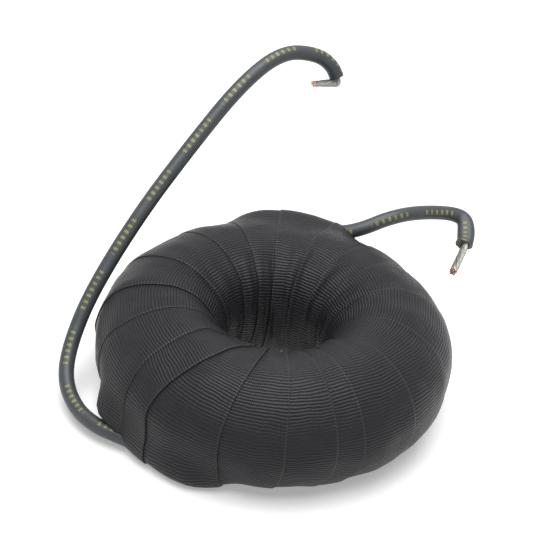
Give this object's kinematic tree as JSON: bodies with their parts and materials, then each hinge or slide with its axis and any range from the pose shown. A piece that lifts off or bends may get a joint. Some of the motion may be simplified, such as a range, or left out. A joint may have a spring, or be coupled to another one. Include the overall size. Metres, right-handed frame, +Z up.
{
  "type": "toroidal inductor",
  "caption": "Toroidal choke: wire-wound ring core wrapped in black woven tape, with two bent stranded leads stripped at their ends.",
  "frame": {"origin": "on the ring's axis, in the plane that the ring rests on", "axes": "+Z up along the ring's axis; the camera side of the picture is -Y, with +X to its right"},
  "size_m": [0.0919, 0.0951, 0.0636],
  "materials": {
    "woven_tape": "matte",
    "lead_jacket": "satin",
    "tinned_copper": "satin",
    "enamelled_wire": "gloss",
    "iron_powder_core": "matte",
    "insulating_tape": "satin",
    "splice_sleeve": "satin"
  },
  "bodies": {
    "root": {"core": "iron_powder_core", "core_tape": "insulating_tape", "winding": "enamelled_wire", "inner_wrap": "insulating_tape", "splice_1": "tinned_copper", "splice_2": "tinned_copper", "splice_sleeve_1": "splice_sleeve", "splice_sleeve_2": "splice_sleeve", "lead_1_jacket": "lead_jacket", "lead_1_conductor": "tinned_copper", "lead_2_jacket": "lead_jacket", "lead_2_conductor": "tinned_copper", "outer_wrap": "woven_tape"}
  },
  "joints": []
}
